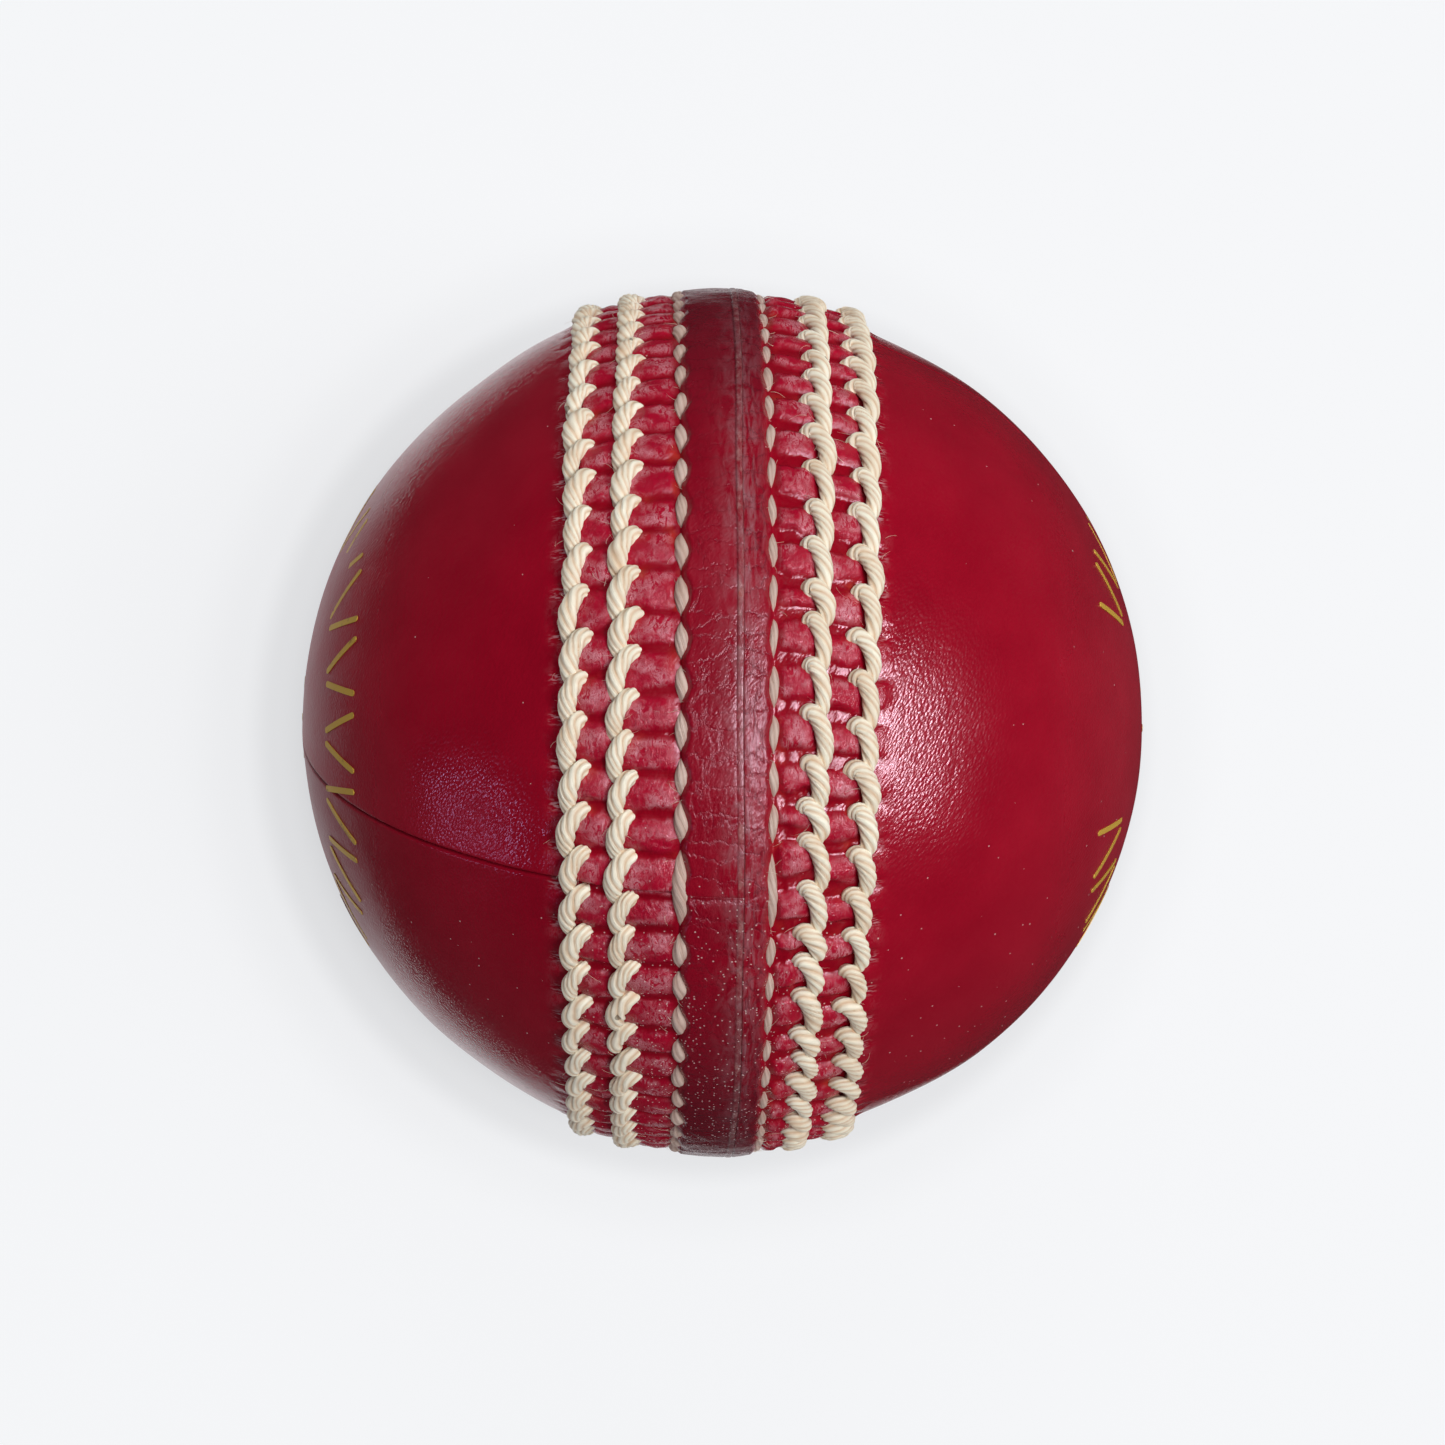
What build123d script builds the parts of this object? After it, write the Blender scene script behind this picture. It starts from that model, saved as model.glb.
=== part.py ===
from build123d import *
import math
import os

# Four-piece cricket ball. Millimetres, origin at the ball's centre,
# X is the axis the seam runs round, so the seam plane is X = 0, and Z is up.

# Cheeks: each cup is a sphere whose centre is pushed out along X.
cheek_radius = 35.4
cheek_offset = 0.6

# Leather and what it closes on.
leather_inner_radius = 32.2
lining_thickness = 0.6

# The two cups meet a little to one side of the welt's middle.
join_x = 0.6

# Welt: the raised band between the two inner rows.
welt_top_radius = 37.26
welt_edge_x = 2.75
welt_edge_radius = 37.0

# Stitch rows, as distance along X from the welt's middle.
inner_row_x = 3.3
middle_row_x = 7.5
outer_row_x = 11.1

# Leather surface at each row, as distance from the X axis, with the crown between rows.
inner_groove_radius = 36.30
inner_crown = (5.4, 36.22)
middle_groove_radius = 35.42
outer_crown = (9.3, 35.26)
outer_groove_radius = 34.28
shoulder = (12.6, 33.66)
shoulder_end_x = 14.6

# Any point of the cheek between the shoulder and the pole, to draw its arc through.
cheek_middle_x = 28.0

# Thread. Stitches stand square to a ball of row_ball_radius.
row_ball_radius = 36.0
thread_radius = 0.50
thread_clearance = 0.03
hole_degrees_per_clearance = 4.0
stitch_lean = 20.0
stitch_bend_radius = 1.9
stitch_half_arc = 62.0
row_tip_distance = {"middle": 37.02, "outer": 36.98}

# Inner rows are pulled down into the leather, so their bends are flatter.
inner_thread_radius = 0.50
inner_bend_radius = 3.0
inner_half_arc = 27.0
inner_tip_distance = 36.80

# Stitches in each row, and where its first hole sits round the ball, as a share of one stitch.
row_stitches = {
    "left_outer": 67,
    "left_middle": 73,
    "left_inner": 66,
    "right_inner": 66,
    "right_middle": 68,
    "right_outer": 66,
}
row_phase = {
    "left_outer": 0.75,
    "left_middle": 0.57,
    "left_inner": 0.21,
    "right_inner": 0.21,
    "right_middle": 0.68,
    "right_outer": 0.41,
}

# Closing thread, straight through both halves of the welt below the inner rows.
closing_thread_radius = 0.42
closing_thread_distance = 34.9
closing_thread_reach = 3.3

# Quarter joints, as the angle of the joint plane from +Z towards -Y.
left_joint_angle = 20.6
right_joint_angle = left_joint_angle + 90.0
joint_thread_radius = 0.4
joint_thread_distance = 33.8
joint_thread_length = 3.2
joint_stitches = 25
joint_stitch_spread = 66.0

# Wound core: yarn layers with cork strips laid between them.
nucleus_radius = 12.5
yarn_thickness = 2.9
cork_strip_thickness = 1.1
yarn_layers = 5
strips_per_layer = 6
strip_gap_degrees = 2.0
strip_turn_per_layer = 50.0

# Gold foil stamping: a zigzag border round each pole and a small rosette inside it.
# Sides are -1 for left and 1 for right. Angles run round X from +Y towards +Z. The right
# border is in two arcs with gaps between.
foil_thickness = 0.05
foil_cutter_reach = cheek_radius + 2.0
border_radius = {-1: 18.0, 1: 17.0}
border_bar_length = 5.0
border_bar_width = 0.5
border_bar_tilt = 17.0
border_bar_pitch = 8.8
border_arcs = {-1: [(-45.0, 225.0)], 1: [(-62.0, 62.0), (114.0, 246.0)]}
rosette_radius = 3.6
rosette_petals = 8
rosette_petal_length = 2.6
rosette_petal_width = 0.7


def surface_frame(x, angle):
    """Outward normal, direction round the ball and direction across a row."""
    around = math.radians(angle)
    radial = Vector(0, math.cos(around), math.sin(around))
    tangent = Vector(0, -math.sin(around), math.cos(around))
    tilt = math.asin(x / row_ball_radius)
    normal = Vector(1, 0, 0) * math.sin(tilt) + radial * math.cos(tilt)
    across = Vector(1, 0, 0) * math.cos(tilt) - radial * math.sin(tilt)
    return normal, tangent, across


def bent_thread(radius, bend_radius, half_arc):
    """One stitch as a bend of round thread over local X, top towards local Z."""
    turn = math.radians(half_arc)
    start = Plane(
        origin=(-bend_radius * math.sin(turn), 0, bend_radius * math.cos(turn)),
        z_dir=(math.cos(turn), 0, math.sin(turn)),
    )
    section = start * Circle(radius)
    return revolve(section, axis=Axis.Y, revolution_arc=2 * half_arc).solid()


def stitch_places(row):
    """Where every stitch of a row sits."""
    side_name, kind = row.split("_")
    side = -1 if side_name == "left" else 1
    if kind == "inner":
        x = side * inner_row_x
        centre_distance = inner_tip_distance - inner_thread_radius - inner_bend_radius
        lean = 0.0
    else:
        x = side * (middle_row_x if kind == "middle" else outer_row_x)
        centre_distance = row_tip_distance[kind] - thread_radius - stitch_bend_radius
        lean = side * math.radians(stitch_lean)
    places = []
    count = row_stitches[row]
    for index in range(count):
        angle = 360.0 * (index + 0.5 + row_phase[row]) / count
        normal, tangent, across = surface_frame(x, angle)
        along = tangent * math.cos(lean) + across * math.sin(lean)
        place = Plane(origin=normal * centre_distance, x_dir=along, z_dir=normal)
        places.append(place.location)
    return places


def row_solids(row, extra=0.0):
    """The stitches of one row, made thicker and longer by extra to cut their holes."""
    longer = hole_degrees_per_clearance * extra
    if row.endswith("inner"):
        stitch = bent_thread(inner_thread_radius + extra, inner_bend_radius, inner_half_arc + longer)
    else:
        stitch = bent_thread(thread_radius + extra, stitch_bend_radius, stitch_half_arc + longer)
    return [stitch.moved(place) for place in stitch_places(row)]


def closing_thread(extra=0.0):
    """Straight runs through the welt, one below each gap between inner stitches."""
    length = 2 * (closing_thread_reach + extra)
    run = Cylinder(closing_thread_radius + extra, length, rotation=(0, 90, 0)).solid()
    runs = []
    count = row_stitches["left_inner"]
    for index in range(count):
        angle = math.radians(360.0 * (index + row_phase["left_inner"]) / count)
        y = closing_thread_distance * math.cos(angle)
        z = closing_thread_distance * math.sin(angle)
        runs.append(run.moved(Location((0, y, z))))
    return runs


def joint_direction(joint_angle):
    """Unit vector in the joint plane, square to X."""
    turn = math.radians(joint_angle)
    return Vector(0, -math.sin(turn), math.cos(turn))


def joint_thread(side, joint_angle, extra=0.0):
    """Hidden stitches that cross a quarter joint inside the leather."""
    run = Cylinder(joint_thread_radius + extra, joint_thread_length + 2 * extra).solid()
    outward = joint_direction(joint_angle)
    square_to_joint = Vector(side, 0, 0).cross(outward)
    runs = []
    for index in range(joint_stitches):
        share = index / (joint_stitches - 1)
        angle = math.radians(joint_stitch_spread * (2 * share - 1))
        spot = Vector(side, 0, 0) * math.cos(angle) + outward * math.sin(angle)
        place = Plane(origin=spot * joint_thread_distance, z_dir=square_to_joint)
        runs.append(run.moved(place.location))
    return runs


def cup_section(side):
    """Section of one cup's leather, in the XY plane, from the join to the pole."""
    join = side * join_x
    crown_height = welt_top_radius - welt_edge_radius
    crown_radius = (welt_edge_x**2 + crown_height**2) / (2 * crown_height)

    def welt_height(x):
        return welt_top_radius - crown_radius + math.sqrt(crown_radius**2 - x**2)

    def cheek_height(x):
        return math.sqrt(cheek_radius**2 - (x - cheek_offset) ** 2)

    pole = cheek_offset + cheek_radius
    middle_of_welt = (join + welt_edge_x) / 2
    start = (join, welt_height(join))
    welt_edge = (welt_edge_x, welt_edge_radius)
    inner_groove = (inner_row_x, inner_groove_radius)
    middle_groove = (middle_row_x, middle_groove_radius)
    outer_groove = (outer_row_x, outer_groove_radius)
    shoulder_end = (shoulder_end_x, cheek_height(shoulder_end_x))
    cheek_middle = (cheek_middle_x, cheek_height(cheek_middle_x))
    inner_edge = (join, math.sqrt(leather_inner_radius**2 - join**2))
    diagonal = leather_inner_radius / math.sqrt(2)

    outline = [
        ThreePointArc(start, (middle_of_welt, welt_height(middle_of_welt)), welt_edge),
        Line(welt_edge, inner_groove),
        ThreePointArc(inner_groove, inner_crown, middle_groove),
        ThreePointArc(middle_groove, outer_crown, outer_groove),
        ThreePointArc(outer_groove, shoulder, shoulder_end),
        ThreePointArc(shoulder_end, cheek_middle, (pole, 0)),
        Line((pole, 0), (leather_inner_radius, 0)),
        ThreePointArc((leather_inner_radius, 0), (diagonal, diagonal), inner_edge),
        Line(inner_edge, start),
    ]
    section = make_face(Wire(outline))
    if side < 0:
        section = section.mirror(Plane.YZ)
    return section


def leather_quarter(side, joint_angle, half, holes):
    """Half a cup: one leather quarter with its stitch holes."""
    turn = joint_angle + 90.0 + 180.0 * half
    section = Rot(X=turn) * cup_section(side)
    blank = revolve(section, axis=Axis.X, revolution_arc=180.0)
    return blank - holes


def cup_lining(side):
    """Thin leather lining glued inside one cup."""
    outer = leather_inner_radius
    inner = leather_inner_radius - lining_thickness
    join = side * join_x
    outer_edge = (join, math.sqrt(outer**2 - join**2))
    inner_edge = (join, math.sqrt(inner**2 - join**2))
    outer_diagonal = outer / math.sqrt(2)
    inner_diagonal = inner / math.sqrt(2)
    outline = [
        ThreePointArc(outer_edge, (outer_diagonal, outer_diagonal), (outer, 0)),
        Line((outer, 0), (inner, 0)),
        ThreePointArc((inner, 0), (inner_diagonal, inner_diagonal), inner_edge),
        Line(inner_edge, outer_edge),
    ]
    section = make_face(Wire(outline))
    if side < 0:
        section = section.mirror(Plane.YZ)
    return revolve(section, axis=Axis.X, revolution_arc=360.0)


def yarn_winding(inner, outer):
    """One wound layer of yarn, as a hollow ball."""
    return Sphere(outer) - Sphere(inner)


def cork_strips(inner, outer, turn):
    """Cork strips laid side by side round the ball, like orange peel."""
    half_gap = strip_gap_degrees / 2
    sweep = 360.0 / strips_per_layer - strip_gap_degrees
    outline = [
        ThreePointArc((0, -outer), (outer, 0), (0, outer)),
        Line((0, outer), (0, inner)),
        ThreePointArc((0, inner), (inner, 0), (0, -inner)),
        Line((0, -inner), (0, -outer)),
    ]
    section = make_face(Wire(outline))
    strip = revolve(section, axis=Axis.Y, revolution_arc=sweep).solid()
    strips = []
    for index in range(strips_per_layer):
        strips.append(Rot(Y=half_gap + 360.0 * index / strips_per_layer) * strip)
    return [Rot(X=turn, Z=turn / 2) * one for one in strips]


def foil_shell(side):
    """Skin of foil thickness lying on one cheek."""
    centre = Location((side * cheek_offset, 0, 0))
    return centre * (Sphere(cheek_radius + foil_thickness) - Sphere(cheek_radius))


def foil_stamp(side):
    """Zigzag border and a rosette of petals, stamped round one pole."""
    marks = []
    for first, last in border_arcs[side]:
        bars = int((last - first) / border_bar_pitch)
        for index in range(bars):
            turn = side * (first + border_bar_pitch * (index + 0.5))
            tilt = border_bar_tilt if index % 2 else -border_bar_tilt
            bar = SlotOverall(border_bar_length, border_bar_width)
            marks.append(Rot(Z=turn) * Pos(border_radius[side], 0) * Rot(Z=tilt) * bar)
    for index in range(rosette_petals):
        turn = 360.0 * index / rosette_petals
        petal = Ellipse(rosette_petal_length / 2, rosette_petal_width / 2)
        marks.append(Rot(Z=turn) * Pos(rosette_radius, 0) * petal)
    facing = Plane(origin=(0, 0, 0), x_dir=(0, 1, 0), z_dir=(side, 0, 0))
    skin = foil_shell(side)
    pieces = []
    for mark in marks:
        block = extrude(facing * mark, amount=foil_cutter_reach)
        pieces.extend((skin & block).solids())
    return pieces


def write(name, shape):
    """Write one node."""
    export_step(shape, f"parts/{name}.step")


os.makedirs("parts", exist_ok=True)

rows = list(row_phase)
for row in rows:
    write(f"stitch_row_{row}", Compound(children=row_solids(row)))
write("closing_thread", Compound(children=closing_thread()))
write("quarter_joint_thread_left", Compound(children=joint_thread(-1, left_joint_angle)))
write("quarter_joint_thread_right", Compound(children=joint_thread(1, right_joint_angle)))

closing_holes = closing_thread(thread_clearance)
left_holes = closing_holes + joint_thread(-1, left_joint_angle, thread_clearance)
right_holes = closing_holes + joint_thread(1, right_joint_angle, thread_clearance)
for row in rows:
    if row.startswith("left"):
        left_holes += row_solids(row, thread_clearance)
    else:
        right_holes += row_solids(row, thread_clearance)

write("leather_quarter_left_front", leather_quarter(-1, left_joint_angle, 1, left_holes))
write("leather_quarter_left_back", leather_quarter(-1, left_joint_angle, 0, left_holes))
write("leather_quarter_right_top", leather_quarter(1, right_joint_angle, 1, right_holes))
write("leather_quarter_right_bottom", leather_quarter(1, right_joint_angle, 0, right_holes))
write("cup_lining_left", cup_lining(-1))
write("cup_lining_right", cup_lining(1))

core_radius = nucleus_radius
write("cork_nucleus", Sphere(nucleus_radius))
for layer in range(1, yarn_layers + 1):
    last = layer == yarn_layers
    yarn_radius = leather_inner_radius - lining_thickness if last else core_radius + yarn_thickness
    write(f"yarn_winding_{layer}", yarn_winding(core_radius, yarn_radius))
    core_radius = yarn_radius
    if not last:
        strip_radius = core_radius + cork_strip_thickness
        strips = cork_strips(core_radius, strip_radius, strip_turn_per_layer * layer)
        write(f"cork_strips_{layer}", Compound(children=strips))
        core_radius = strip_radius

write("gold_foil_left", Compound(children=foil_stamp(-1)))
write("gold_foil_right", Compound(children=foil_stamp(1)))
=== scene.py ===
import math
import random

import bmesh
import bpy
import numpy as np
from bpy.props import BoolProperty, FloatProperty, FloatVectorProperty, IntProperty, PointerProperty
from mathutils import Matrix, Vector, noise


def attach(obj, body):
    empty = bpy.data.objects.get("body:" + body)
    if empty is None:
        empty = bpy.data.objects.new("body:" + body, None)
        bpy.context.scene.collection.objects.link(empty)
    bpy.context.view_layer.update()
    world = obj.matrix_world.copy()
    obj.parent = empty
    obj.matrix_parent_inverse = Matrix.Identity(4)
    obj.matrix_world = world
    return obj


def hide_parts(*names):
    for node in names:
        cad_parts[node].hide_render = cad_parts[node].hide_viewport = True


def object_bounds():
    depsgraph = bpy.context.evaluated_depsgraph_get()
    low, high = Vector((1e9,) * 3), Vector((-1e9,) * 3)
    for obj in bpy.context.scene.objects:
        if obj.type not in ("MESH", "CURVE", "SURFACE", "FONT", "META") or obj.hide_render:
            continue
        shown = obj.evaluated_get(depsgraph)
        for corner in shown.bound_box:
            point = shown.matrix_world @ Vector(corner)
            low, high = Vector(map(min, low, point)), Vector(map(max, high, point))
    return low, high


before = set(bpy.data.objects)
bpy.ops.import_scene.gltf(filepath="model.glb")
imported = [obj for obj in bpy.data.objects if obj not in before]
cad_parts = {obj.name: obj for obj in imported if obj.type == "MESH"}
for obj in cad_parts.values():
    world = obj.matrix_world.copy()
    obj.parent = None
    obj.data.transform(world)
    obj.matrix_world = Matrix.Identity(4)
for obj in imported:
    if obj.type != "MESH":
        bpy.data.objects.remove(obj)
cad_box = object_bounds()

bl_info = {
    "name": "Cricket ball looks",
    "version": (1, 0, 0),
    "blender": (4, 5, 0),
    "location": "View3D > Sidebar > Cricket ball",
    "description": "Leather cups, hand stitching and finishes of a four-piece cricket ball",
    "category": "Object",
}

# Lengths below are in millimetres unless a name says otherwise; the frame is in metres.
MM = 0.001

# Leather section, from the join out to the pole, as distance along X and from the X axis.
CHEEK_RADIUS = 35.4
CHEEK_OFFSET = 0.6
POLE_X = CHEEK_RADIUS + CHEEK_OFFSET
LEATHER_INNER_RADIUS = 32.2
JOIN_X = 0.6
WELT_TOP_RADIUS = 37.22
WELT_EDGE = (2.75, 37.0)
INNER_GROOVE = (3.35, 36.25)
MIDDLE_GROOVE = (7.5, 35.42)
OUTER_GROOVE = (11.1, 34.28)
SHOULDER_END_X = 34.0

ROWS = {
    "left_outer": 11.1,
    "left_middle": 7.5,
    "left_inner": 3.3,
    "right_inner": 3.3,
    "right_middle": 7.5,
    "right_outer": 11.1,
}
# Stitches in each row, and where they start round the ball, as a share of one stitch.
ROW_STITCHES = {
    "left_outer": 67,
    "left_middle": 73,
    "left_inner": 66,
    "right_inner": 66,
    "right_middle": 68,
    "right_outer": 66,
}
ROW_PHASE = {
    "left_outer": 0.75,
    "left_middle": 0.57,
    "left_inner": 0.21,
    "right_inner": 0.21,
    "right_middle": 0.68,
    "right_outer": 0.41,
}
# How unevenly each row was pulled, as a share of one stitch.
ROW_UNEVEN = {
    "left_outer": 0.06,
    "left_middle": 0.06,
    "left_inner": 0.07,
    "right_inner": 0.07,
    "right_middle": 0.15,
    "right_outer": 0.06,
}
LEFT_JOINT = math.radians(90.0 + 20.6)
RIGHT_JOINT = LEFT_JOINT + math.pi / 2
LONG_STITCH_ANGLE = LEFT_JOINT - math.radians(1.0)
# A crease across the welt, on the side away from the left joint.
WELT_CREASE = math.radians(56.5)
# The ball's lowest point in metres, where the painted shadow on the board under it is darkest.
BALL_LOW_Z = -0.0372
# Mean distance of the seam from the X axis, to turn angles round it into lengths.
SKIN_RADIUS = 36.0
# The rows' mean surface, and the ball whose normals the stitches follow.
ROWS_RADIUS = 36.25
STITCH_BALL_RADIUS = 36.3

# In metres: the camera looks almost straight down, turned and rolled by the same small angle.
CAMERA_DISTANCE = 0.2484
CAMERA_TURN = math.radians(0.75)
CAMERA_LENS_MM = 71.4
CAMERA_SENSOR_MM = 36.0


def linear(hex_colour, alpha=1.0):
    """An sRGB hex colour as linear RGBA."""
    text = hex_colour.lstrip("#")
    values = []
    for start in (0, 2, 4):
        channel = int(text[start:start + 2], 16) / 255.0
        values.append(channel / 12.92 if channel <= 0.04045 else ((channel + 0.055) / 1.055) ** 2.4)
    return (*values, alpha)


# ---------------------------------------------------------------- settings


class CricketBallSettings(bpy.types.PropertyGroup):
    leather_colour: FloatVectorProperty(
        name="Leather", description="Dye of the leather", subtype="COLOR", size=4, min=0, max=1,
        default=linear("#9E0823"),
    )
    thread_colour: FloatVectorProperty(
        name="Thread", description="Linen of the stitches", subtype="COLOR", size=4, min=0, max=1,
        default=linear("#FFFCEA"),
    )
    foil_colour: FloatVectorProperty(
        name="Foil", description="Stamped foil", subtype="COLOR", size=4, min=0, max=1,
        default=linear("#D2A83C"),
    )
    thread_radius: FloatProperty(
        name="Thread radius", description="Radius of the outer rows' thread", default=0.00068,
        min=0.0004, max=0.0010, unit="LENGTH", precision=5,
    )
    pleat_height: FloatProperty(
        name="Pleat height", description="How far the leather stands up beside each stitch",
        default=0.00030, min=0.0, max=0.0008, unit="LENGTH", precision=5,
    )
    loose_fibres: IntProperty(
        name="Loose fibres", description="Short fibres that stand out of the thread",
        default=1500, min=0, max=6000,
    )
    show_fibres: BoolProperty(
        name="Show fibres", description="Add the loose fibres", default=True,
    )


def settings():
    """The values set in the panel."""
    return bpy.context.scene.cricket_ball


# ---------------------------------------------------------------- materials


def add_node(tree, kind, links=None, **values):
    """Adds a node, sets its properties and inputs, and links the inputs that are given sockets."""
    node = tree.nodes.new(kind)
    for key, value in values.items():
        if hasattr(node, key):
            setattr(node, key, value)
        else:
            node.inputs[key.replace("_", " ")].default_value = value
    for key, socket in (links or {}).items():
        tree.links.new(socket, node.inputs[key])
    return node


def new_material(name):
    """A material with one Principled shader."""
    material = bpy.data.materials.new(name)
    material.use_nodes = True
    tree = material.node_tree
    tree.nodes.clear()
    output = tree.nodes.new("ShaderNodeOutputMaterial")
    shader = tree.nodes.new("ShaderNodeBsdfPrincipled")
    tree.links.new(shader.outputs["BSDF"], output.inputs["Surface"])
    return material, tree, shader


def ramp(tree, socket, stops, interpolation="LINEAR"):
    """A colour ramp over (position, colour) stops."""
    node = tree.nodes.new("ShaderNodeValToRGB")
    node.color_ramp.interpolation = interpolation
    elements = node.color_ramp.elements
    while len(elements) > 1:
        elements.remove(elements[-1])
    elements[0].position, elements[0].color = stops[0]
    for position, colour in stops[1:]:
        elements.new(position).color = colour
    tree.links.new(socket, node.inputs["Fac"])
    return node.outputs["Color"]


def mix(tree, factor, first, second, blend="MIX"):
    """Mixes two colours; each may be a socket or a constant."""
    node = tree.nodes.new("ShaderNodeMix")
    node.data_type = "RGBA"
    node.blend_type = blend
    for name, value in (("Factor_Float", factor), ("A_Color", first), ("B_Color", second)):
        target = next(item for item in node.inputs if item.identifier == name)
        if isinstance(value, bpy.types.NodeSocket):
            tree.links.new(value, target)
        else:
            target.default_value = value
    return next(item for item in node.outputs if item.identifier == "Result_Color")


def maths(tree, operation, *values, clamp=False):
    """A sum over numbers or sockets."""
    node = tree.nodes.new("ShaderNodeMath")
    node.operation = operation
    node.use_clamp = clamp
    for socket, value in zip(node.inputs, values):
        if isinstance(value, bpy.types.NodeSocket):
            tree.links.new(value, socket)
        else:
            socket.default_value = value
    return node.outputs[0]


def tint(tree, colour, mask, share, hex_colour):
    """Lays a share of one colour over another where a mask is white."""
    return mix(tree, maths(tree, "MULTIPLY", mask, share), colour, linear(hex_colour))


def above(tree, socket, gain, lift):
    """The part of a pattern above some level, as a mask."""
    return maths(tree, "MULTIPLY_ADD", socket, gain, lift, clamp=True)


def add_relief(tree, shader, height, strength, distance):
    """Bumps a surface by a height pattern, over a distance in metres."""
    bump = add_node(tree, "ShaderNodeBump", {"Height": height}, Strength=strength, Distance=distance)
    tree.links.new(bump.outputs["Normal"], shader.inputs["Normal"])


def attribute(tree, name):
    """A float attribute of the piece, as a mask."""
    return add_node(tree, "ShaderNodeAttribute", attribute_name=name).outputs["Fac"]


def stretched(tree, size, turn=(0, 0, 0)):
    """Object coordinates turned, then divided by a size per axis, for patterns that run one way."""
    place = tree.nodes.new("ShaderNodeTexCoord")
    node = tree.nodes.new("ShaderNodeMapping")
    node.vector_type = "TEXTURE"
    node.inputs["Scale"].default_value = size
    node.inputs["Rotation"].default_value = turn
    tree.links.new(place.outputs["Object"], node.inputs["Vector"])
    return node.outputs["Vector"]


def laid_along(tree, layer, scale):
    """A piece's own flat coordinates in millimetres, scaled per axis."""
    place = add_node(tree, "ShaderNodeUVMap", uv_map=layer)
    node = tree.nodes.new("ShaderNodeMapping")
    node.inputs["Scale"].default_value = (*scale, 1.0)
    tree.links.new(place.outputs["UV"], node.inputs["Vector"])
    return node.outputs["Vector"]


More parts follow.
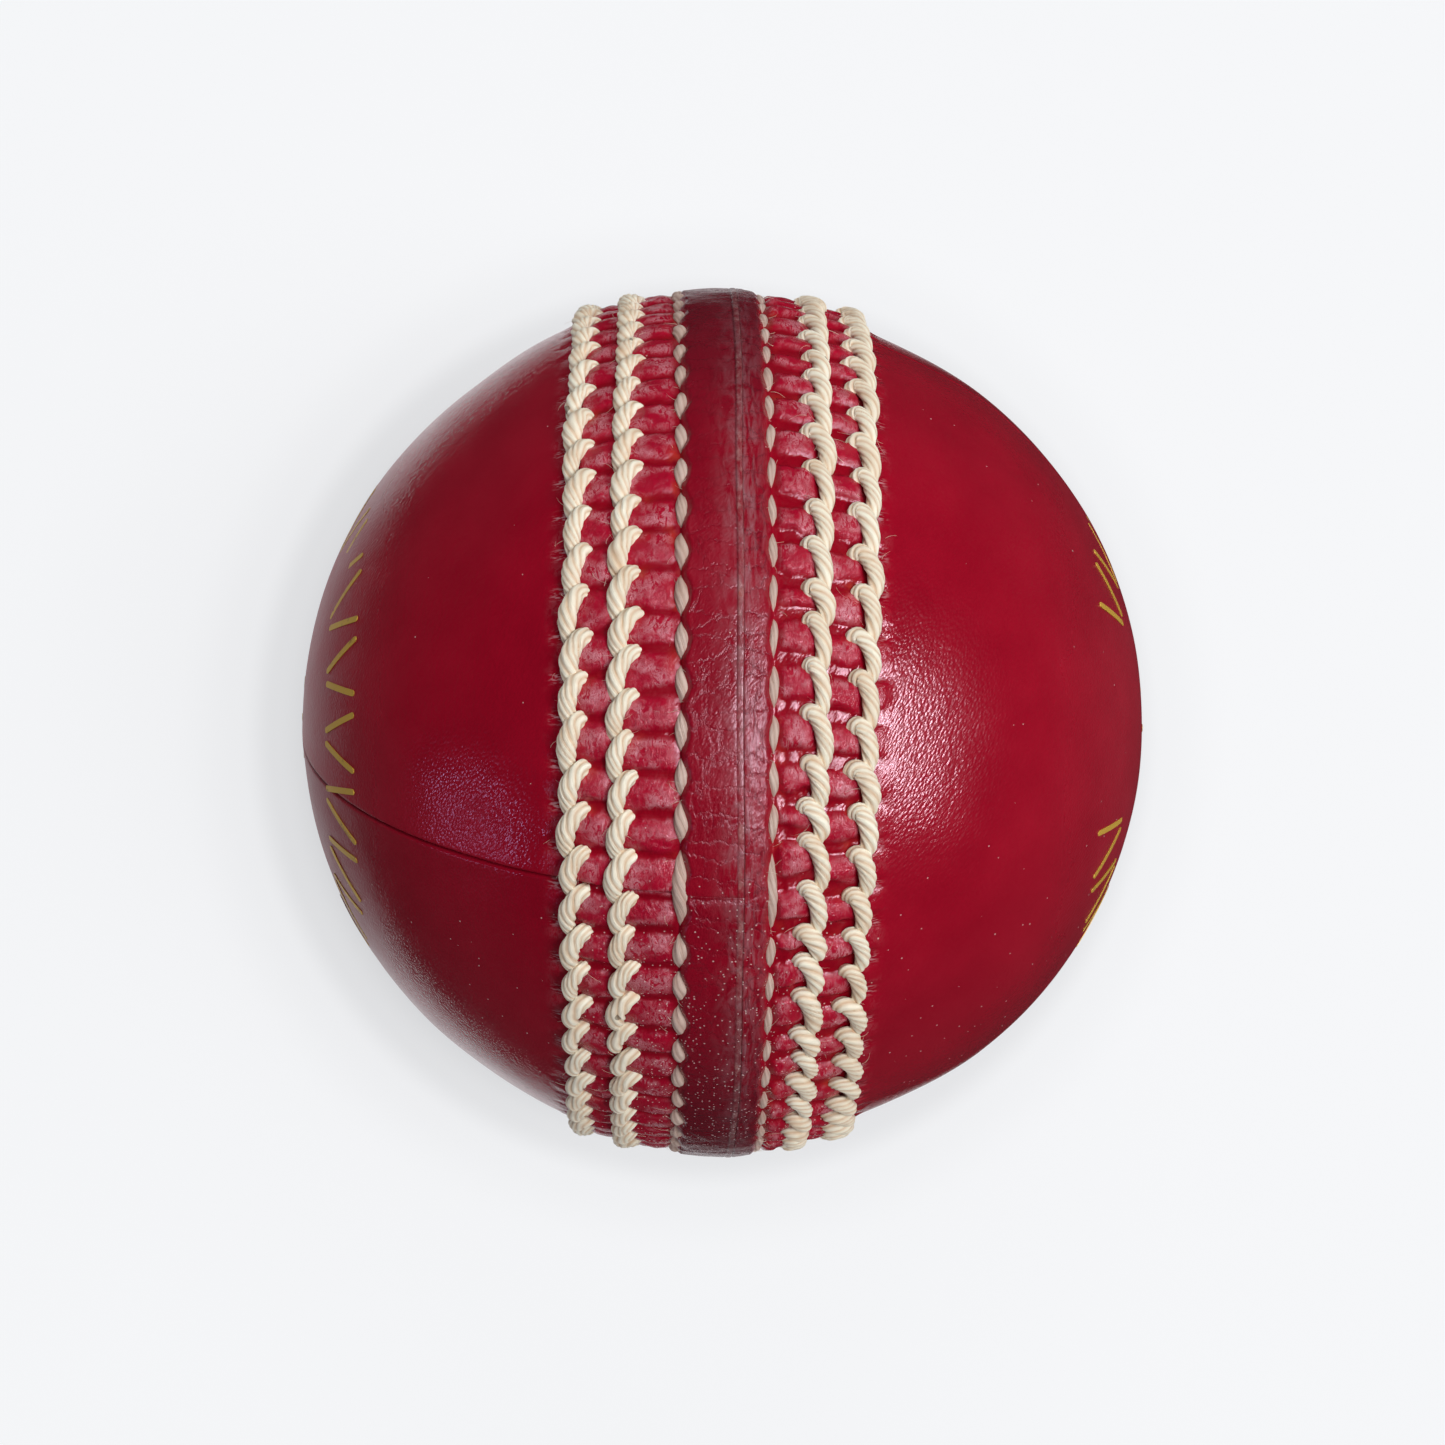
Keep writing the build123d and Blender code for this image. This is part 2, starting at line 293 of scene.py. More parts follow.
def red_leather():
    """Alum-tanned cowhide, dyed crimson, greased, lacquered and polished."""
    material, tree, shader = new_material("lacquered_red_leather")
    dye = settings().leather_colour
    place = stretched(tree, (1, 1, 1))
    rows = attribute(tree, "rows")
    pillow = attribute(tree, "pillow")
    welt = attribute(tree, "welt")

    # The dye takes unevenly over a few millimetres.
    cloud = add_node(tree, "ShaderNodeTexNoise", {"Vector": place}, Scale=140.0, Detail=5.0, Roughness=0.6)
    cloud_mask = above(tree, cloud.outputs["Fac"], 2.2, -0.6)
    deep = tuple(channel * 0.80 for channel in dye[:3]) + (1.0,)
    colour = mix(tree, cloud_mask, deep, tuple(dye))

    # Lacquer on the pleats is crazed into fine pale lines that run round the ball; the pale lines are partly
    # this crazing and partly a painted highlight, glints off the crinkled lacquer.
    craze_place = laid_along(tree, "skin", (2.6, 1.3))
    craze = add_node(
        tree, "ShaderNodeTexNoise", {"Vector": craze_place},
        Scale=1.0, Detail=5.0, Roughness=0.72, Distortion=1.2,
    )
    craze_glint_line = ramp(
        tree, craze.outputs["Fac"],
        [(0.45, (0, 0, 0, 1)), (0.53, (1, 1, 1, 1)), (0.58, (0.15, 0.15, 0.15, 1)), (0.66, (1, 1, 1, 1))],
    )
    region_place = laid_along(tree, "skin", (0.45, 0.6))
    region = add_node(tree, "ShaderNodeTexNoise", {"Vector": region_place}, Scale=1.0)
    craze_and_glint = above(tree, region.outputs["Fac"], 6.0, -2.7)
    craze_and_glint = maths(tree, "MULTIPLY", craze_and_glint, maths(tree, "MULTIPLY", craze_glint_line, pillow))
    colour = tint(tree, colour, rows, 0.45, "#C60C36")
    # Pale lines on the pillows: crazed lacquer together with painted glints.
    colour = tint(tree, colour, craze_and_glint, 0.50, "#F2BCC8")
    # Painted shade: the valleys between the pillows in the rows are darkened.
    valley_shade = maths(tree, "MULTIPLY", rows, maths(tree, "SUBTRACT", 1.0, pillow), clamp=True)
    colour = tint(tree, colour, valley_shade, 0.75, "#860212")
    # Painted highlights: small pale crow's-foot glints where the leather puckers at each outer hole.
    glint_place = laid_along(tree, "skin", (1.4, 5.0))
    glint_noise = add_node(tree, "ShaderNodeTexNoise", {"Vector": glint_place}, Scale=1.0, Detail=2.0)
    pucker = attribute(tree, "pucker")
    glint_mask = maths(tree, "MULTIPLY", pucker, above(tree, glint_noise.outputs["Fac"], 9.0, -4.4))
    colour = tint(tree, colour, glint_mask, 0.6, "#ECBCC6")

    # The welt is rubbed greyish along its crown; this is partly wear and partly a painted highlight.
    streak_place = laid_along(tree, "skin", (1.6, 0.45))
    streak = add_node(
        tree, "ShaderNodeTexNoise", {"Vector": streak_place},
        Scale=1.0, Detail=5.0, Roughness=0.65, Distortion=0.6,
    )
    # Rubbed wear mixed with a painted highlight along the crown.
    rubbed = maths(tree, "MULTIPLY", attribute(tree, "crown"), above(tree, streak.outputs["Fac"], 4.0, -1.7))
    colour = tint(tree, colour, rubbed, 0.55, "#B48C94")

    # The welt's dye is a little darker all over, and one panel is a shade deeper; towards both ends, away
    # from its crown, the welt is darker still, which is painted shade.
    # Painted shade towards the ends of the welt.
    ends_painted_shade = maths(tree, "MULTIPLY", attribute(tree, "ends"), 0.55)
    welt_dye_and_shade = maths(tree, "ADD", ends_painted_shade, maths(tree, "MULTIPLY", welt, 0.12))
    colour = mix(tree, welt_dye_and_shade, colour, linear("#4E0618"))
    colour = tint(tree, colour, attribute(tree, "panel"), 0.16, "#3C0210")

    # The wrinkles on the welt have cracked and hold dirt.
    wrinkle_place = laid_along(tree, "skin", (0.30, 0.62))
    bent = mix(tree, 0.8, wrinkle_place, streak.outputs["Color"], blend="ADD")
    wrinkle = add_node(tree, "ShaderNodeTexVoronoi", {"Vector": bent}, feature="DISTANCE_TO_EDGE", Scale=1.0)
    cracks = attribute(tree, "cracks")
    from_edge = maths(tree, "MULTIPLY", wrinkle.outputs["Distance"], 26.0, clamp=True)
    cracked = maths(tree, "MULTIPLY", cracks, maths(tree, "SUBTRACT", 1.0, from_edge))
    colour = tint(tree, colour, cracked, 0.5, "#54101E")

    # Broken dye beside the holes shows the orange-red hide below.
    hole = attribute(tree, "hole")
    patch = add_node(tree, "ShaderNodeTexNoise", {"Vector": place}, Scale=520.0, Detail=3.0)
    where = add_node(tree, "ShaderNodeTexNoise", {"Vector": place}, Scale=90.0, Detail=1.0)
    broken = maths(tree, "MULTIPLY", hole, above(tree, patch.outputs["Fac"], 6.0, -2.9))
    broken = maths(
        tree, "MULTIPLY", broken, above(tree, where.outputs["Fac"], 7.0, -3.3)
    )
    colour = tint(tree, colour, broken, 0.85, "#D04A2C")

    # The cut edge along the join is rubbed pale and brown.
    join = attribute(tree, "join")
    rub_place = laid_along(tree, "skin", (1.5, 0.8))
    rub = add_node(tree, "ShaderNodeTexNoise", {"Vector": rub_place}, Scale=1.0, Detail=5.0, Roughness=0.7)
    join_mask = maths(tree, "MULTIPLY", join, above(tree, rub.outputs["Fac"], 3.0, -0.9))
    join_colour = ramp(
        tree, rub.outputs["Fac"],
        [
            (0.35, linear("#6A2A30")), (0.52, linear("#9A7070")),
            (0.62, linear("#B89C98")), (0.72, linear("#B0583A")),
        ],
    )
    colour = mix(tree, maths(tree, "MULTIPLY", join_mask, 0.42), colour, join_colour)
    # Wax and dirt settle in the lines beside the join and in the quarter joints.
    line = attribute(tree, "line")
    colour = tint(tree, colour, line, 0.70, "#3A0610")

    # Pale dust lies on the welt and the rows towards the near end.
    dusty = attribute(tree, "dust")
    dust = None
    for scale, size, share in ((1500.0, 0.10, 0.22), (2300.0, 0.16, 0.34), (3500.0, 0.22, 0.30)):
        speck = add_node(tree, "ShaderNodeTexVoronoi", {"Vector": place}, Scale=scale, Randomness=1.0)
        dot = maths(tree, "LESS_THAN", speck.outputs["Distance"], size)
        draw = add_node(tree, "ShaderNodeSeparateColor", {"Color": speck.outputs["Color"]})
        pick = maths(
            tree, "GREATER_THAN", draw.outputs[0],
            maths(tree, "SUBTRACT", 0.9985, maths(tree, "MULTIPLY", dusty, share)),
        )
        layer = maths(tree, "MULTIPLY", dot, pick)
        dust = layer if dust is None else maths(tree, "MAXIMUM", dust, layer)
    colour = tint(tree, colour, dust, 0.62, "#E0CCC8")

    # Pebbled grain of about 0.4 by 0.2 mm, drawn out aslant, and fine scratches the same way.
    grain_place = stretched(tree, (0.00042, 0.00019, 0.00022), (0.0, 0.0, math.radians(52.0)))
    grain = add_node(tree, "ShaderNodeTexVoronoi", {"Vector": grain_place}, Scale=1.0)
    scratch_place = stretched(tree, (0.0018, 0.0003, 0.0003), (0.0, 0.0, math.radians(64.0)))
    scratch = add_node(
        tree, "ShaderNodeTexNoise", {"Vector": scratch_place}, Scale=1.0, Detail=3.0, Roughness=0.6
    )
    mottle = add_node(tree, "ShaderNodeTexNoise", {"Vector": place}, Scale=620.0, Detail=4.0, Roughness=0.6)
    height = maths(tree, "MULTIPLY", grain.outputs["Distance"], -0.42)
    height = maths(tree, "ADD", height, maths(tree, "MULTIPLY", scratch.outputs["Fac"], 0.16))
    height = maths(tree, "ADD", height, maths(tree, "MULTIPLY", mottle.outputs["Fac"], 0.55))
    # Slack crinkles in the rows, and a net of wrinkles on the welt.
    crinkle = maths(tree, "MULTIPLY", craze.outputs["Fac"], maths(tree, "MULTIPLY", pillow, 2.2))
    height = maths(tree, "ADD", height, crinkle)
    net = maths(tree, "MULTIPLY", maths(tree, "MINIMUM", wrinkle.outputs["Distance"], 0.07), 6.0)
    wrinkled = maths(tree, "ADD", net, maths(tree, "MULTIPLY", streak.outputs["Fac"], 1.5))
    height = maths(tree, "ADD", height, maths(tree, "MULTIPLY", wrinkled, welt))
    add_relief(tree, shader, height, 0.75, 0.00008)
    tree.links.new(colour, shader.inputs["Base Color"])

    rough = maths(tree, "MULTIPLY_ADD", cloud.outputs["Fac"], 0.18, 0.11)
    # Handling has dulled the poles of the cups.
    rough = maths(tree, "ADD", rough, maths(tree, "MULTIPLY", attribute(tree, "pole"), 0.22))
    rough = maths(tree, "ADD", rough, maths(tree, "MULTIPLY", welt, 0.06))
    rough = maths(tree, "ADD", rough, maths(tree, "MULTIPLY", dust, 0.4), clamp=True)
    tree.links.new(rough, shader.inputs["Roughness"])
    shader.inputs["IOR"].default_value = 1.5
    # The lacquer carries a little of the dye, so even its shine is faintly pink.
    shader.inputs["Specular Tint"].default_value = linear("#FFE2F4")
    return material


def linen_thread(name, lit, shade, groove_strength=1.0):
    """Waxed linen, many plies twisted together: cream on the crowns, with painted shade in tan between the
    plies.
    """
    material, tree, shader = new_material(name)
    groove = attribute(tree, "groove")
    depth = attribute(tree, "depth")
    tone = attribute(tree, "tone")
    place = stretched(tree, (1, 1, 1))
    stain = add_node(tree, "ShaderNodeTexNoise", {"Vector": place}, Scale=420.0, Detail=3.0)
    # Each stitch, and each ply in it, picked up its own share of wax and dirt.
    warm = mix(tree, 0.5, lit, shade)
    colour = mix(tree, maths(tree, "MULTIPLY", tone, 0.45), lit, warm)
    ply = add_node(tree, "ShaderNodeSeparateXYZ", {"Vector": laid_along(tree, "strand", (0.4, 1.0))})
    ply_number = maths(tree, "ROUND", ply.outputs["Y"])
    which_ply = maths(tree, "ADD", ply_number, maths(tree, "MULTIPLY", tone, 31.0))
    ply_tone = add_node(tree, "ShaderNodeTexWhiteNoise", {"W": which_ply}, noise_dimensions="1D")
    colour = mix(tree, maths(tree, "MULTIPLY", ply_tone.outputs["Value"], 0.35), colour, warm)
    # Painted shade: the grooves between the plies are mixed towards the shade colour.
    colour = mix(tree, maths(tree, "MULTIPLY", groove, groove_strength, clamp=True), colour, shade)
    stain_mask = above(tree, stain.outputs["Fac"], 4.0, -2.15)
    colour = mix(tree, maths(tree, "MULTIPLY", stain_mask, 0.45), colour, shade)
    # A few dark specks, about 0.2 mm.
    speck = add_node(tree, "ShaderNodeTexVoronoi", {"Vector": place}, Scale=620.0, Randomness=1.0)
    draw = add_node(tree, "ShaderNodeSeparateColor", {"Color": speck.outputs["Color"]})
    pick = maths(tree, "GREATER_THAN", draw.outputs[1], 0.985)
    dirt = maths(tree, "MULTIPLY", maths(tree, "LESS_THAN", speck.outputs["Distance"], 0.22), pick)
    colour = tint(tree, colour, dirt, 0.7, "#5A4A38")
    # Dye rubs off on the thread where it goes into the leather.
    colour = tint(tree, colour, depth, 0.8, "#B4604E")
    tree.links.new(colour, shader.inputs["Base Color"])
    shader.inputs["Roughness"].default_value = 0.75
    # Single fibres within each ply, drawn at a tenth of a ply.
    strand_place = laid_along(tree, "strand", (1.2, 5.0))
    strand = add_node(
        tree, "ShaderNodeTexNoise", {"Vector": strand_place}, Scale=1.0, Detail=2.0, Roughness=0.6
    )
    add_relief(tree, shader, strand.outputs["Fac"], 0.9, 0.0001)
    return material


def gold_foil():
    """Gold stamping foil, hot-pressed on the lacquer and rubbed dull by handling."""
    material, tree, shader = new_material("worn_gold_foil")
    place = stretched(tree, (1, 1, 1))
    wear = add_node(tree, "ShaderNodeTexNoise", {"Vector": place}, Scale=900.0, Detail=4.0, Roughness=0.7)
    worn = above(tree, wear.outputs["Fac"], 5.0, -2.9)
    foil = settings().foil_colour
    colour = mix(tree, worn, tuple(foil), linear("#6E2A22"))
    tree.links.new(colour, shader.inputs["Base Color"])
    tree.links.new(maths(tree, "MULTIPLY_ADD", worn, -0.25, 0.28), shader.inputs["Metallic"])
    shader.inputs["Roughness"].default_value = 0.48
    return material


def cork():
    """Natural cork: light brown granules with dark lenticels a millimetre or so long."""
    material, tree, shader = new_material("natural_cork")
    place = stretched(tree, (1, 1, 1))
    granule = add_node(tree, "ShaderNodeTexVoronoi", {"Vector": place}, Scale=420.0)
    tone = ramp(
        tree, add_node(tree, "ShaderNodeSeparateColor", {"Color": granule.outputs["Color"]}).outputs[0],
        [(0.0, linear("#8A5E36")), (0.5, linear("#B98B5A")), (1.0, linear("#CFA673"))],
    )
    fleck = add_node(tree, "ShaderNodeTexNoise", {"Vector": place}, Scale=700.0, Detail=4.0)
    mask = above(tree, fleck.outputs["Fac"], 8.0, -4.9)
    tree.links.new(mix(tree, mask, tone, linear("#4A2E1A")), shader.inputs["Base Color"])
    shader.inputs["Roughness"].default_value = 0.85
    add_relief(tree, shader, granule.outputs["Distance"], 0.4, 0.0002)
    return material


def worsted_yarn():
    """Grey-white worsted yarn of about 1 mm, wound tight in crossing turns."""
    material, tree, shader = new_material("worsted_yarn")
    place = stretched(tree, (1, 1, 1), (0.4, 0.9, 0.2))
    bands = add_node(tree, "ShaderNodeTexWave", {"Vector": place}, Scale=160.0, Distortion=1.5)
    bands.bands_direction = "Z"
    tone = ramp(tree, bands.outputs["Fac"], [(0.0, linear("#9A9080")), (0.5, linear("#D8D0BC"))])
    tree.links.new(tone, shader.inputs["Base Color"])
    shader.inputs["Roughness"].default_value = 0.9
    add_relief(tree, shader, bands.outputs["Fac"], 0.8, 0.0004)
    return material


def lining_leather():
    """Thin undyed splits of hide, left matt and fibrous."""
    material, tree, shader = new_material("undyed_lining_leather")
    place = stretched(tree, (1, 1, 1))
    nap = add_node(tree, "ShaderNodeTexNoise", {"Vector": place}, Scale=600.0, Detail=5.0)
    tone = ramp(tree, nap.outputs["Fac"], [(0.3, linear("#A98560")), (0.7, linear("#CDAE86"))])
    tree.links.new(tone, shader.inputs["Base Color"])
    shader.inputs["Roughness"].default_value = 0.9
    return material


def table_top():
    """Matt white acrylic that glows evenly so that shadows on it are faint, with a painted soft shadow round
    the ball.
    """
    material, tree, shader = new_material("glowing_board_with_painted_shadow")
    shader.inputs["Base Color"].default_value = linear("#545556")
    shader.inputs["Roughness"].default_value = 0.9
    shader.inputs["Specular IOR Level"].default_value = 0.2
    # Painted shadow: the board's glow is darker round the point under the ball.
    place = stretched(tree, (1, 1, 1))
    from_ball = add_node(tree, "ShaderNodeVectorMath", {0: place}, operation="DISTANCE")
    from_ball.inputs[1].default_value = (-0.0015, -0.001, BALL_LOW_Z)
    glow = ramp(
        tree, maths(tree, "MULTIPLY", from_ball.outputs["Value"], 10.0),
        [
            (0.0, linear("#3A3B3C")), (0.10, linear("#747576")),
            (0.22, linear("#A8A9AB")), (0.36, linear("#CFD0D2")),
            (0.425, linear("#E5E6E8")), (0.46, linear("#F2F3F5")), (0.53, linear("#F6F7F9")),
        ],
        "EASE",
    )
    tree.links.new(glow, shader.inputs["Emission Color"])
    shader.inputs["Emission Strength"].default_value = 0.90
    return material


# ---------------------------------------------------------------- shapes


def add_object(name, data):
    """A new object in the scene."""
    made = bpy.data.objects.new(name, data)
    bpy.context.scene.collection.objects.link(made)
    return made


def grid_faces(rings, around, base=0, closed=False):
    """Four-cornered faces between rings of points."""
    faces = []
    for ring in range(rings - 1):
        for step in range(around if closed else around - 1):
            a = base + ring * around + step
            b = base + ring * around + (step + 1) % around
            faces.append((a, b, b + around, a + around))
    return faces


def make_object(name, vertices, faces, material, attributes=None, flat=None):
    """A closed mesh object from millimetre vertices, with attributes and flat coordinates per vertex."""
    mesh = bpy.data.meshes.new(name)
    mesh.from_pydata((np.asarray(vertices) * MM).tolist(), [], faces)
    mesh.update()
    if mesh.validate():
        raise RuntimeError(f"{name}: the mesh had faults")
    for key, values in (attributes or {}).items():
        layer = mesh.attributes.new(key, "FLOAT", "POINT")
        layer.data.foreach_set("value", np.asarray(values, np.float32))
    if flat is not None:
        layer_name, coordinates = flat
        layer = mesh.uv_layers.new(name=layer_name)
        corner_vertex = np.zeros(len(mesh.loops), np.int32)
        mesh.loops.foreach_get("vertex_index", corner_vertex)
        layer.data.foreach_set("uv", np.asarray(coordinates, np.float32)[corner_vertex].ravel())
    mesh.polygons.foreach_set("use_smooth", np.ones(len(mesh.polygons), bool))
    mesh.materials.append(material)
    return add_object(name, mesh)


def stitch_angles(row):
    """Angle round X, from +Y towards +Z, of each stitch's hole in a row."""
    count = ROW_STITCHES[row]
    generator = random.Random("stitches " + row)
    pitch = 2 * math.pi / count
    angles = []
    for index in range(count):
        uneven = generator.uniform(-1, 1) * ROW_UNEVEN[row]
        angles.append((index + ROW_PHASE[row] + uneven) * pitch)
    angles = np.array(angles)
    if row.endswith("inner"):
        # One stitch was taken long where the rows cross the left quarter joint.
        angles = np.delete(angles, np.argmin(np.abs(angles - LONG_STITCH_ANGLE)))
    return angles


def stitch_steps(row):
    """Each stitch's angle, and the angle on to the next stitch."""
    angles = stitch_angles(row)
    following = np.append(angles[1:], angles[0] + 2 * math.pi)
    return zip(angles, following - angles)


def seam_shift(side, x, angle):
    """How far the hand-pulled seam strays along X: the rows spread a little, the welt leans more."""
    rows = (-0.70 if side < 0 else -0.90) + side * 0.2 * np.cos(angle)
    welt = -0.635 + 0.535 * np.sin(angle) - 0.365 * np.cos(angle)
    share = smooth_step(3.9, 7.2, np.asarray(x, float))
    fade = 1 - smooth_step(12.0, 22.0, np.asarray(x, float))
    return (rows * share + welt * (1 - share)) * fade


def nearest_stitch(angle, angles):
    """Signed distance from each angle to the nearest stitch, as a share of a stitch."""
    pitch = 2 * math.pi / len(angles)
    wrapped = np.concatenate([angles[-1:] - 2 * math.pi, angles, angles[:1] + 2 * math.pi])
    turned = (angle - angles[0] + pitch) % (2 * math.pi) + angles[0] - pitch
    place = np.clip(np.searchsorted(wrapped, turned), 1, len(wrapped) - 1)
    before = turned - wrapped[place - 1]
    after = wrapped[place] - turned
    return np.where(before < after, before, -after) / pitch


def arc_through(first, middle, last, count):
    """Points on the arc through three points, the last left out."""
    (ax, ay), (bx, by), (cx, cy) = first, middle, last
    d = 2 * (ax * (by - cy) + bx * (cy - ay) + cx * (ay - by))
    ux = ((ax**2 + ay**2) * (by - cy) + (bx**2 + by**2) * (cy - ay) + (cx**2 + cy**2) * (ay - by)) / d
    uy = ((ax**2 + ay**2) * (cx - bx) + (bx**2 + by**2) * (ax - cx) + (cx**2 + cy**2) * (bx - ax)) / d
    radius = math.hypot(ax - ux, ay - uy)
    begin = math.atan2(ay - uy, ax - ux)
    end = math.atan2(cy - uy, cx - ux)
    end += round((begin - end) / (2 * math.pi)) * 2 * math.pi
    steps = begin + (end - begin) * np.arange(count) / count
    return np.stack([ux + radius * np.cos(steps), uy + radius * np.sin(steps)], 1)


def cheek_height(x):
    """Distance of the true cheek from the X axis."""
    return math.sqrt(max(CHEEK_RADIUS**2 - (x - CHEEK_OFFSET) ** 2, 0.0))


def leather_section(side):
    """Outer surface of one cup from the join to the pole: x and distance from the X axis."""
    join = side * JOIN_X
    crown = WELT_TOP_RADIUS - WELT_EDGE[1]
    crown_radius = (WELT_EDGE[0] ** 2 + crown**2) / (2 * crown)

    def welt(x):
        return WELT_TOP_RADIUS - crown_radius + math.sqrt(crown_radius**2 - x**2)

    welt_x = np.concatenate([
        join + np.array([0.0, 0.04, 0.09, 0.16, 0.25, 0.33, 0.38, 0.43, 0.48, 0.55, 0.64]),
        np.linspace(join + 0.78, WELT_EDGE[0] - 0.1, 12 if side < 0 else 7),
    ])
    points = [np.array([(x, welt(x)) for x in welt_x])]
    points.append(arc_through(WELT_EDGE, (3.08, 36.72), INNER_GROOVE, 6))
    points.append(arc_through(INNER_GROOVE, (5.3, 36.28), MIDDLE_GROOVE, 20))
    points.append(arc_through(MIDDLE_GROOVE, (9.25, 35.34), OUTER_GROOVE, 18))
    # The rise beside the rows dies away smoothly across the cheek.
    rise = OUTER_GROOVE[1] - cheek_height(OUTER_GROOVE[0])
    angles = np.linspace(math.acos((OUTER_GROOVE[0] - CHEEK_OFFSET) / CHEEK_RADIUS), 0.0, 118)
    cheek_x = CHEEK_OFFSET + CHEEK_RADIUS * np.cos(angles)
    share = np.clip((SHOULDER_END_X - cheek_x) / (SHOULDER_END_X - OUTER_GROOVE[0]), 0, 1)
    points.append(np.stack([cheek_x, CHEEK_RADIUS * np.sin(angles) + rise * share**3], 1))
    return np.concatenate(points)


def smooth_step(low, high, values):
    """Eases from 0 at low to 1 at high."""
    share = np.clip((values - low) / (high - low), 0.0, 1.0)
    return share * share * (3 - 2 * share)


def noise_at(points, scale, seed):
    """Smooth noise from -1 to 1 over millimetre points."""
    shift = Vector((seed * 7.31, seed * 3.17, seed * 5.53))
    return np.array([noise.noise(Vector(point) * scale + shift) for point in points])


def leather_quarter(name, side, joint, half, material):
    """One leather quarter: the outer skin with its pleats, the inner face and the cut edges."""
    section = leather_section(side)
    stations = len(section)
    columns = 470
    ends = np.array([0.0, 0.08, 0.17, 0.28, 0.42, 0.60]) / SKIN_RADIUS
    start = joint + half * math.pi
    margin = 0.80 / SKIN_RADIUS
    even = np.linspace(margin, math.pi - margin, columns)
    turns = np.concatenate([ends, even, math.pi - ends[::-1]])
    theta = start + turns
    x = section[:, 0]
    radius = section[:, 1]
    tangent = np.gradient(section, axis=0)
    normal = np.stack([-tangent[:, 1], tangent[:, 0]], 1)
    normal *= np.sign((normal * section).sum(1))[:, None]
    normal /= np.linalg.norm(normal, axis=1)[:, None]

    grid_x, grid_t = np.meshgrid(x, theta, indexing="ij")
    grid_r = np.repeat(radius[:, None], len(theta), 1)
    cup = "left_" if side < 0 else "right_"
    inner = stitch_angles(cup + "inner")
    middle = stitch_angles(cup + "middle")
    outer = stitch_angles(cup + "outer")
    base = np.stack([side * grid_x, grid_r * np.cos(grid_t), grid_r * np.sin(grid_t)], -1).reshape(-1, 3)
    slow = noise_at(base, 0.12, 1).reshape(grid_x.shape)
    medium = noise_at(base, 0.45, 2).reshape(grid_x.shape)
    fine = noise_at(base, 1.3, 3).reshape(grid_x.shape)

    # Pleats: the leather is pinched down at each hole and swells between the holes.
    waver = 0.09 * medium + 0.045 * fine
    to_middle = nearest_stitch(grid_t, middle)
    to_outer = nearest_stitch(grid_t, outer)
    band_inner = smooth_step(3.6, 4.3, grid_x) * (1 - smooth_step(6.9, 7.5, grid_x))
    band_outer = smooth_step(7.7, 8.3, grid_x) * (1 - smooth_step(10.4, 11.0, grid_x))
    band_cheek = smooth_step(11.3, 11.8, grid_x) * (1 - smooth_step(12.0, 13.4, grid_x))
    narrow = (0.05 if side < 0 else 0.14) + 0.06 * medium + 0.02 * slow
    middle_pillow = smooth_step(narrow, narrow + 0.13, np.abs(to_middle + 0.05 + waver))
    outer_pillow = smooth_step(narrow, narrow + 0.13, np.abs(to_outer + 0.05 + waver))
    pillow = band_inner * middle_pillow + band_outer * outer_pillow + 0.4 * band_cheek * outer_pillow
    rows = smooth_step(3.2, 3.8, grid_x) * (1 - smooth_step(12.0, 13.6, grid_x))
    pleat = settings().pleat_height / MM * (1.15 if side < 0 else 1.7)
    middle_round = 0.72 - 0.28 * np.cos(2 * math.pi * to_middle)
    outer_round = 0.72 - 0.28 * np.cos(2 * math.pi * to_outer)
    push = pleat * band_inner * (middle_pillow * middle_round - 0.45)
    push += pleat * band_outer * (outer_pillow * outer_round - 0.45)
    push += 0.4 * pleat * band_cheek * (outer_pillow * outer_round - 0.5)
    push *= 1 + 0.5 * medium
    push += (0.09 * fine + 0.06 * medium) * rows

    # The welt: a soft crown, creases across it and edges drawn out where the inner stitches are tight.
    welt = 1 - smooth_step(2.8, 3.2, grid_x)
    push += welt * (0.05 * medium + 0.035 * fine)
    to_inner = nearest_stitch(grid_t, inner)
    scallop = 0.21 if side < 0 else 0.09
    near_edge = smooth_step(1.9, 2.9, grid_x) * (1 - smooth_step(3.1, 3.6, grid_x))
    shift_x = (scallop * np.cos(2 * math.pi * to_inner) + 0.05 * fine) * near_edge
    for crease, depth in ((WELT_CREASE, 0.07), (LEFT_JOINT, 0.10)):
        along = (grid_t - crease + math.pi) % (2 * math.pi) - math.pi
        along = (along + 0.012 * medium) * grid_r
        push -= welt * depth * np.exp(-((along / 0.30) ** 2))

    # The join: this cup's cut edge is a narrow raised strip with a fine line beside it.
    from_join = np.abs(grid_x - x[0])
    strip = (1 - smooth_step(0.36, 0.44, from_join)) * (1.0 if side < 0 else 0.0)
    beside = np.exp(-(((from_join - 0.43) / 0.055) ** 2)) * (1.0 if side < 0 else 0.0)
    near_end = smooth_step(-0.30, 0.15, -np.cos(grid_t))
    gap = np.exp(-((from_join / 0.055) ** 2))
    push += 0.035 * strip - 0.05 * beside * (1 - 0.6 * near_end) - 0.045 * gap
    line = np.maximum(beside * (0.75 - 0.55 * near_end), gap * (0.15 + 0.5 * near_end))
    join_mask = strip if side < 0 else 0.5 * np.exp(-((from_join / 0.10) ** 2))
    crown = welt * np.exp(-((from_join / (1.1 if side < 0 else 2.2)) ** 2))
    wander = 0.70 + 0.12 * np.sin(grid_t * 3 + 0.6) + 0.04 * np.sin(grid_t * 11)
    wander = wander * np.exp(-((from_join / 1.3) ** 2))
    shift_x = shift_x + side * (wander + seam_shift(side, grid_x, grid_t))

